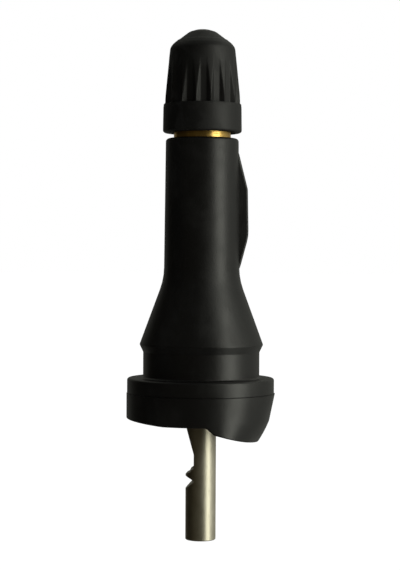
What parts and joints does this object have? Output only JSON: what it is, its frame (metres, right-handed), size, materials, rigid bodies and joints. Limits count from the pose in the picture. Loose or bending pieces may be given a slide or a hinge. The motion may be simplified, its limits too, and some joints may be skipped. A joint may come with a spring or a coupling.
{
  "type": "tyre pressure sensor valve stem",
  "caption": "Snap-in rubber valve stem of a tyre pressure sensor: fluted cap, brass stem, rubber body with lobed flange, notched sensor shaft, valve core inside.",
  "frame": {"origin": "on the stem's axis, in the plane of the flange's top face, which seats on the inner side of the wheel rim", "axes": "+Z along the stem towards the cap, +X towards the lobe of the base and the rib on the neck"},
  "size_m": [0.0194, 0.0194, 0.0672],
  "materials": {
    "black_rubber": "smooth moulded rubber, soft sheen",
    "brass": "turned bright brass",
    "nickel": "turned, warm nickel plate",
    "black_plastic": "moulded, satin",
    "core_brass": "turned brass",
    "gasket_red": "smooth moulded seal",
    "spring_steel": "drawn wire",
    "pin_steel": "drawn and riveted",
    "seal_rubber": "matt moulded rubber"
  },
  "bodies": {
    "stem": {"rubber_body": "black_rubber", "valve_stem": "brass", "sensor_shaft": "nickel", "core_plug": "core_brass", "core_barrel": "core_brass", "core_gasket": "gasket_red", "core_spring": "spring_steel"},
    "pin": {"core_pin": "pin_steel", "core_cup": "core_brass", "core_cup_seal": "seal_rubber"},
    "seal": {"cap_seal": "seal_rubber"},
    "cap": {"valve_cap": "black_plastic"}
  },
  "joints": [
    {"name": "pin_press", "type": "slide", "parent": "stem", "child": "pin", "axis": [0, 0, -1], "range_m": [0, 0.0018], "stiffness_N_per_m": 600, "deforming": ["core_spring"]},
    {"name": "cap_lift", "type": "slide", "parent": "stem", "child": "seal", "axis": [0, 0, 1], "range_m": [0, 0.00714]},
    {"name": "cap_turn", "type": "hinge", "parent": "seal", "child": "cap", "pos_m": [0, 0, 0.0322], "axis": [0, 0, 1], "range_deg": [0, 3240]}
  ],
  "couplings": [
    {"joint": "cap_turn", "follows": "cap_lift", "rad_per_m": 7915.8}
  ]
}
